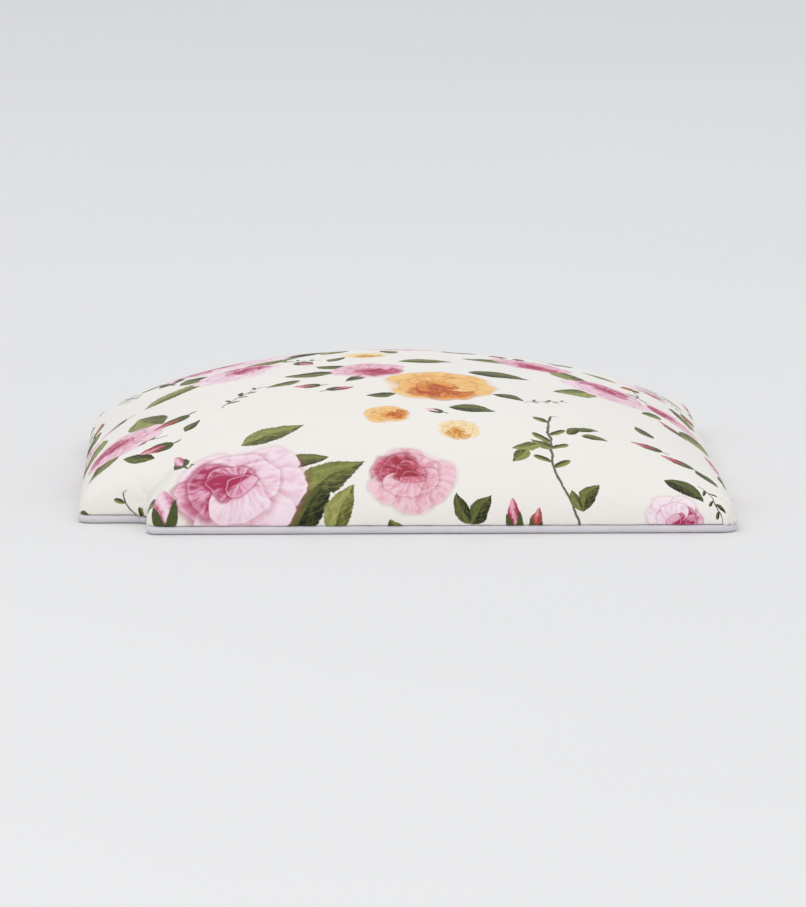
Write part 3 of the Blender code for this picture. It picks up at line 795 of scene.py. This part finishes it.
def cover_faces():
    """Quads of the square rings, then of the turned-under rows."""
    starts = [0] + [1 + 4 * ring * (ring - 1) for ring in range(1, COVER_RINGS + 1)]
    faces = []

    def corner_index(ring, side, step):
        """Point number of a ring at a step along one of its four sides."""
        if ring == 0:
            return 0
        return starts[ring] + (side * 2 * ring + step) % (8 * ring)

    for ring in range(1, COVER_RINGS + 1):
        for side in range(4):
            for step in range(2 * ring):
                outer = corner_index(ring, side, step)
                outer_next = corner_index(ring, side, step + 1)
                if step == 0:
                    # The corner cell joins the last step of the side before to the first of this one.
                    last = corner_index(ring, side, -1)
                    faces.append((last, outer, outer_next, corner_index(ring - 1, side, 0)))
                elif step < 2 * ring - 1:
                    faces.append((corner_index(ring - 1, side, step - 1), outer, outer_next,
                                  corner_index(ring - 1, side, step)))
    count = 8 * COVER_RINGS
    low = starts[COVER_RINGS]
    for _ in TURN_UNDER:
        for k in range(count):
            following = (k + 1) % count
            faces.append((low + k, low + count + k, low + count + following, low + following))
        low += count
    return faces


def mesh_object(name, points, faces):
    mesh = bpy.data.meshes.new(name)
    mesh.from_pydata([tuple(point) for point in points], [], faces)
    shape = bmesh.new()
    shape.from_mesh(mesh)
    bmesh.ops.recalc_face_normals(shape, faces=shape.faces)
    shape.to_mesh(mesh)
    shape.free()
    mesh.shade_smooth()
    obj = bpy.data.objects.new(name, mesh)
    bpy.context.scene.collection.objects.link(obj)
    return obj


def read_points(mesh):
    found = np.empty(len(mesh.vertices) * 3)
    mesh.vertices.foreach_get("co", found)
    return found.reshape(-1, 3)


def write_points(mesh, points):
    mesh.vertices.foreach_set("co", points.ravel())
    mesh.update()


def add_cloth_uv(mesh, cloth):
    """A UV map that holds each point's place on the flat cloth."""
    layer = mesh.uv_layers.new(name=UV_NAME)
    corner_points = np.empty(len(mesh.loops), dtype=np.int32)
    mesh.loops.foreach_get("vertex_index", corner_points)
    layer.data.foreach_set("uv", (cloth[corner_points] / CLOTH_SPAN + 0.5).ravel())


def apply_modifiers(obj):
    """Replaces the object's mesh with what its modifiers make of it."""
    graph = bpy.context.evaluated_depsgraph_get()
    made = bpy.data.meshes.new_from_object(obj.evaluated_get(graph), preserve_all_data_layers=True,
                                           depsgraph=graph)
    old = obj.data
    obj.modifiers.clear()
    obj.data = made
    bpy.data.meshes.remove(old)


def settle_cloth(obj, start):
    """Lets the cover stretch over its padding under air pressure, with its turned-under edge held."""
    normals = point_normals(obj.data)
    pinned = obj.vertex_groups.new(name="held")
    dome_count = 1 + 4 * COVER_RINGS * (COVER_RINGS - 1)
    pinned.add(list(range(dome_count, len(obj.data.vertices))), 1.0, "REPLACE")
    cloth = obj.modifiers.new("settle", "CLOTH")
    settings = cloth.settings
    settings.vertex_group_mass = pinned.name
    settings.use_pressure = True
    settings.uniform_pressure_force = SIM_PRESSURE
    settings.quality = 6
    settings.mass = 0.25
    settings.tension_stiffness = 40
    settings.compression_stiffness = 40
    settings.shear_stiffness = 10
    settings.bending_stiffness = 0.8
    settings.effector_weights.gravity = 0
    cloth.point_cache.frame_start = 1
    cloth.point_cache.frame_end = SIM_FRAMES
    scene = bpy.context.scene
    for number in range(1, SIM_FRAMES + 1):
        scene.frame_set(number)
    apply_modifiers(obj)
    moved = read_points(obj.data) - start
    outward = (moved * normals).sum(axis=1, keepdims=True)
    moved -= normals * np.minimum(0, outward)
    distance = np.linalg.norm(moved, axis=1, keepdims=True)
    scale = SIM_REACH / np.percentile(distance, 99)
    moved *= scale
    distance *= scale
    moved *= np.minimum(1, SIM_CAP / np.maximum(distance, 1e-9))
    write_points(obj.data, start + moved)
    scene.frame_set(1)


def point_normals(mesh):
    found = np.empty(len(mesh.vertices) * 3)
    mesh.vertex_normals.foreach_get("vector", found)
    return found.reshape(-1, 3)


def fold_profile(across):
    """A cloth fold: a slow rise to a rounded lip, then a quick drop. across runs from -1 to 1."""
    rise = np.clip((across + 1) / 1.55, 0, 1)
    fall = np.clip((1 - across) / 0.45, 0, 1)
    return np.minimum(rise * rise * (3 - 2 * rise), fall * fall * (3 - 2 * fall)) * (np.abs(across) < 1)


def shape_cover(mesh):
    """Adds the unevenness of real upholstery: soft swells, corner pleats and pulls at the staples."""
    points = read_points(mesh)
    normals = point_normals(mesh)
    x, y, z = points.T
    over = np.clip((z - BASE_Z) / (CROWN_Z - BASE_Z), 0, 1)
    on_dome = z > BASE_Z - 0.2 * MM
    lift = sum(height * smooth_noise(x, y, size, seed) for height, size, seed in SWELLS)
    lift *= np.clip(over * 4, 0, 1)

    # The side wall draws in a little between the staples.
    wall = np.exp(-((z - BASE_Z - WALL_HEIGHT) / WALL_SPREAD) ** 2)
    around = np.where(np.abs(x) / HALF_X > np.abs(y) / HALF_Y, y, x)
    phase = around * 2 * math.pi / STAPLE_PITCH + 2 * smooth_noise(x, y, 0.09, 5)
    lift += WALL_PULL * wall * np.sin(phase)

    # Pleats take up the spare cloth at the front corners.
    centre_x = HALF_X - FRONT_CORNER
    centre_y = -HALF_Y + FRONT_CORNER
    for side in (-1, 1):
        dx = x * side - centre_x
        dy = -(y - centre_y)
        angle = np.degrees(np.arctan2(dy, dx))
        near = (dx > -CORNER_MARGIN) & (dy > -CORNER_MARGIN) & on_dome
        for middle, width, height, size in PLEATS:
            upward = np.clip(1 - (z - BASE_Z) / height, 0, 1)
            narrow = width * (0.45 + 0.55 * upward)
            fold = fold_profile((angle - middle) / narrow) * upward ** 0.8
            lift += near * size * fold

    # The cloth is slit at the inside corner of each notch, and pulls run up from there.
    for side in (-1, 1):
        dx = NOTCH_X - x * side
        dy = NOTCH_Y - y
        reach = np.hypot(dx, dy)
        angle = np.degrees(np.arctan2(dy, dx))
        fade = np.exp(-reach / NOTCH_PULL_REACH) * np.clip(reach / 0.004, 0, 1) * on_dome
        fan = np.cos(np.radians(angle - 45) * 7) + 1
        near = (dx > -CORNER_MARGIN) & (dy > -CORNER_MARGIN)
        lift += NOTCH_PULL * fade * fan * near
    lift = np.maximum(lift, -LEAST_PADDING)
    write_points(mesh, points + normals * lift[:, None])


def thicken_cover(obj):
    """Gives the cover its thickness inward, and packs the unseen inside's UVs into a small corner."""
    outside_faces = len(obj.data.polygons)
    solid = obj.modifiers.new("thickness", "SOLIDIFY")
    solid.thickness = COVER_THICK
    solid.offset = -1
    apply_modifiers(obj)
    mesh = obj.data
    uvs = np.empty(len(mesh.loops) * 2)
    mesh.uv_layers[UV_NAME].data.foreach_get("uv", uvs)
    uvs = uvs.reshape(-1, 2)
    starts = np.empty(len(mesh.polygons), dtype=np.int32)
    mesh.polygons.foreach_get("loop_start", starts)
    first_inside = starts[outside_faces]
    uvs[first_inside:] *= INSIDE_UV_SCALE
    mesh.uv_layers[UV_NAME].data.foreach_set("uv", uvs.ravel())


def make_cover(finish):
    points, cloth = cover_points()
    cover = mesh_object("rose_print_cover", points, cover_faces())
    add_cloth_uv(cover.data, cloth)
    settle_cloth(cover, points)
    finer = cover.modifiers.new("finer", "SUBSURF")
    finer.levels = 1
    finer.render_levels = 1
    apply_modifiers(cover)
    shape_cover(cover.data)
    thicken_cover(cover)
    cover.data.materials.clear()
    cover.data.materials.append(finish)
    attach(cover, "root")
    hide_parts("seat_cover")


# ---- the welt ----

WELT_STEPS = 150
WELT_SIDES = 14
WELT_TAIL_INSET = 24 * MM
WELT_TAIL_THICK = 0.9 * MM
# The bias strip puckers a little along its seam, at two wavelengths.
FINE_PUCKER = 0.05 * MM
FINE_PUCKERS = 260
SLOW_PUCKER = 0.07 * MM
SLOW_PUCKERS = 91


def make_welt(finish):
    """The bias strip pulled round the cord: a round bead with slight puckers, and a flat tail under it."""
    shares = perimeter_shares(WELT_STEPS)
    count = len(shares)
    tail_low = dust_high.z + 0.3 * MM
    tail_high = tail_low + WELT_TAIL_THICK
    start = math.asin((tail_low - WELT_RADIUS) / WELT_RADIUS)
    end = math.asin((tail_high - WELT_RADIUS) / WELT_RADIUS)
    sweep = 2 * math.pi + start - end
    rows = [(None, WELT_TAIL_INSET, tail_low)]
    rows += [(start - sweep * k / WELT_SIDES, 0, 0) for k in range(WELT_SIDES + 1)]
    rows += [(None, WELT_TAIL_INSET, tail_high)]
    turns = 2 * math.pi * np.arange(count) / count
    pucker = FINE_PUCKER * np.sin(turns * FINE_PUCKERS) + SLOW_PUCKER * np.sin(turns * SLOW_PUCKERS + 1)
    points = []
    for turn, inset, height in rows:
        if turn is None:
            row = outline_points(inset - (HALF_X - welt_high.x), shares)
            heights = np.full(count, height)
        else:
            base = WELT_RADIUS + WELT_RADIUS * math.cos(turn) - (welt_high.x - HALF_X)
            row = outline_points(base, shares)
            outward = row - outline_points(base + MM, shares)
            row = row + outward / MM * (pucker * -math.cos(turn))[:, None]
            heights = WELT_RADIUS + (WELT_RADIUS + pucker) * math.sin(turn)
            heights = np.maximum(heights, 0)
        points.append(np.column_stack([row, heights]))
    faces = []
    for row in range(len(rows)):
        low = row * count
        high = ((row + 1) % len(rows)) * count
        for k in range(count):
            following = (k + 1) % count
            faces.append((low + k, low + following, high + following, high + k))
    welt = mesh_object("welt_piping", np.concatenate(points), faces)
    welt.data.materials.append(finish)
    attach(welt, "root")
    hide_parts("welt_cover")


# ---- the dust cover ----

DUST_INSET = HALF_X - dust_high.x
DUST_CLOTH = 0.35 * MM
# The height of the cloth's middle where it is stapled, and how far it hangs below that elsewhere
DUST_STAPLED_Z = dust_high.z - 0.1 * MM
DUST_SAG = 0.50 * MM
DUST_HEM = 14 * MM
DUST_HEM_THICK = 0.12 * MM
DUST_HOLE = 6 * MM
DUST_HOLE_STEPS = 24
DUST_GRID = 6 * MM
# Grid points keep this far from the cloth's edges.
DUST_MARGIN = 3 * MM
# How far a staple holds the cloth up round it
STAPLE_REACH = 20 * MM


def circle_points(centre, radius, steps):
    turns = [2 * math.pi * k / steps for k in range(steps)]
    return [centre + radius * Vector((math.cos(turn), math.sin(turn))) for turn in turns]


def inside_outline(point, inset):
    """Whether a point is at least an inset within the notched outline."""
    across = abs(point.x)
    if across > HALF_X - inset or not -HALF_Y + inset < point.y < HALF_Y - inset:
        return False
    return across < NOTCH_X - inset or point.y < NOTCH_Y - inset


def node_centres(start):
    """The plan centres of the CAD nodes whose names start so."""
    boxes = [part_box(name) for name in frame["nodes"] if name.startswith(start)]
    return [((low + high) / 2).xy for low, high in boxes]


def loop_area(points):
    following = points[1:] + points[:1]
    return abs(sum(here.x * after.y - after.x * here.y for here, after in zip(points, following))) / 2


def make_dust_cover(finish):
    """A thin cloth stapled flat at its folded edge, with a punched hole at each tee nut."""
    edge = [Vector(point) for point in outline_points(DUST_INSET, perimeter_shares(60))]
    nuts = node_centres("tee_nut")
    staples = node_centres("dust_staple")
    holes = [circle_points(nut, DUST_HOLE, DUST_HOLE_STEPS) for nut in nuts]
    points = []
    edges = []
    for loop in [edge] + holes:
        first = len(points)
        points += loop
        edges += [(first + k, first + (k + 1) % len(loop)) for k in range(len(loop))]
    columns = int(HALF_X / DUST_GRID)
    rows = int(HALF_Y / DUST_GRID)
    for column in range(-columns, columns + 1):
        for row in range(-rows, rows + 1):
            point = Vector((column * DUST_GRID, row * DUST_GRID))
            clear = all((point - nut).length > DUST_HOLE + DUST_MARGIN for nut in nuts)
            if clear and inside_outline(point, DUST_INSET + DUST_MARGIN):
                points.append(point)
    flat, _, faces, *_ = geometry.delaunay_2d_cdt(points, edges, [], 1, 1e-7)

    def in_cloth(face):
        middle = sum((flat[k] for k in face), Vector((0, 0))) / len(face)
        return all((middle - nut).length > DUST_HOLE * 0.98 for nut in nuts)

    shaped = []
    for point in flat:
        near = min((point - staple).length for staple in staples)
        slack = 1 - math.exp(-(near / STAPLE_REACH) ** 2)
        ripple = 0.75 + 0.25 * float(smooth_noise(point.x, point.y, 0.045, 4))
        hem = 0 if inside_outline(point, DUST_INSET + DUST_HEM) else DUST_HEM_THICK
        shaped.append((point.x, point.y, DUST_STAPLED_Z - DUST_SAG * slack * ripple - hem))
    cloth = mesh_object("dust_cover_cloth", shaped, [face for face in faces if in_cloth(face)])
    solid = cloth.modifiers.new("thickness", "SOLIDIFY")
    solid.thickness = DUST_CLOTH
    solid.offset = 0
    apply_modifiers(cloth)
    cloth.data.materials.clear()
    cloth.data.materials.append(finish)
    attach(cloth, "root")
    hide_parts("dust_cover")
    area = loop_area(edge) - sum(loop_area(hole) for hole in holes)


# ---- carried-over pieces ----

def dress_frame(materials):
    """Gives every CAD node that stays the detailed material of its slot."""
    slots = {part["node"]: part["material_slot"] for part in frame["record"]["subparts"]}
    for name, obj in frame["nodes"].items():
        finish = materials[slots[name]]
        if not obj.material_slots:
            obj.data.materials.append(finish)
        for slot in obj.material_slots:
            slot.material = finish


# ---- room, lights and camera ----

# The camera stands level with the chair's side, as far off and as high as a person taking its picture.
CAMERA_PLACE = Vector((-4.245, 0.096, 0.634))
CAMERA_LENS = 268
CAMERA_TARGET = Vector((-0.10, 0.0, 0.031))
FLOOR_RADIUS = 60
# The world is at its darkest on the horizon, where it meets the floor's own tone.
WORLD_LOW = (0.585, 0.60, 0.615)
WORLD_HIGH = (0.80, 0.82, 0.85)


def make_room():
    floor = bpy.data.meshes.new("floor")
    shape = bmesh.new()
    bmesh.ops.create_circle(shape, cap_ends=True, segments=96, radius=FLOOR_RADIUS)
    shape.to_mesh(floor)
    shape.free()
    ground = bpy.data.objects.new("floor", floor)
    ground.location.z = -0.2 * MM
    bpy.context.scene.collection.objects.link(ground)
    paint = Paint("studio_floor", roughness=0.75, specular=0.2)
    tone, _ = paint.noise(paint.place(), 1.5, 2.0)
    floor.materials.append(paint.finish(paint.mix(tone, (0.80, 0.79, 0.78), (0.84, 0.83, 0.82))))

    world = bpy.data.worlds.new("studio")
    world.use_nodes = True
    tree = world.node_tree
    place = tree.nodes.new("ShaderNodeTexCoord")
    split = tree.nodes.new("ShaderNodeSeparateXYZ")
    height = tree.nodes.new("ShaderNodeMapRange")
    height.inputs["From Max"].default_value = 0.6
    tones = tree.nodes.new("ShaderNodeMix")
    tones.data_type = "RGBA"
    tones.inputs[6].default_value = (*WORLD_LOW, 1)
    tones.inputs[7].default_value = (*WORLD_HIGH, 1)
    tree.links.new(place.outputs["Generated"], split.inputs[0])
    tree.links.new(split.outputs[2], height.inputs[0])
    tree.links.new(height.outputs[0], tones.inputs[0])
    tree.links.new(tones.outputs[2], tree.nodes["Background"].inputs["Color"])
    bpy.context.scene.world = world


def add_light(name, place, size, watts, colour):
    data = bpy.data.lights.new(name, "AREA")
    data.size = size
    data.energy = watts
    data.color = colour
    light = bpy.data.objects.new(name, data)
    light.location = place
    light.rotation_euler = (-Vector(place)).to_track_quat("-Z", "Y").to_euler()
    bpy.context.scene.collection.objects.link(light)


def make_lights():
    add_light("key", (-2.3, 1.0, 3.0), 2.2, 26, (1.0, 0.98, 0.95))
    add_light("fill", (-1.6, -2.4, 2.6), 2.2, 7, (0.97, 0.98, 1.0))
    add_light("back", (1.8, 0.8, 3.0), 2.2, 8, (1.0, 1.0, 1.0))


def make_camera():
    bpy.context.scene.view_settings.view_transform = "Standard"
    data = bpy.data.cameras.new("camera")
    data.lens = CAMERA_LENS
    data.clip_end = 200
    camera = bpy.data.objects.new("camera", data)
    camera.location = CAMERA_PLACE
    camera.rotation_euler = (CAMERA_TARGET - CAMERA_PLACE).to_track_quat("-Z", "Y").to_euler()
    bpy.context.scene.collection.objects.link(camera)
    bpy.context.scene.camera = camera


make_camera()
make_room()
make_lights()
finishes = {
    "print_cloth": print_material(), "welt_cloth": welt_material(), "cotton_cord": cord_material(),
    "foam": foam_material(), "wadding": wadding_material(), "plywood": plywood_material(),
    "cambric": cambric_material(), "zinc_steel": zinc_material(),
}
dress_frame(finishes)
make_cover(finishes["print_cloth"])
make_welt(finishes["welt_cloth"])
make_dust_cover(finishes["cambric"])
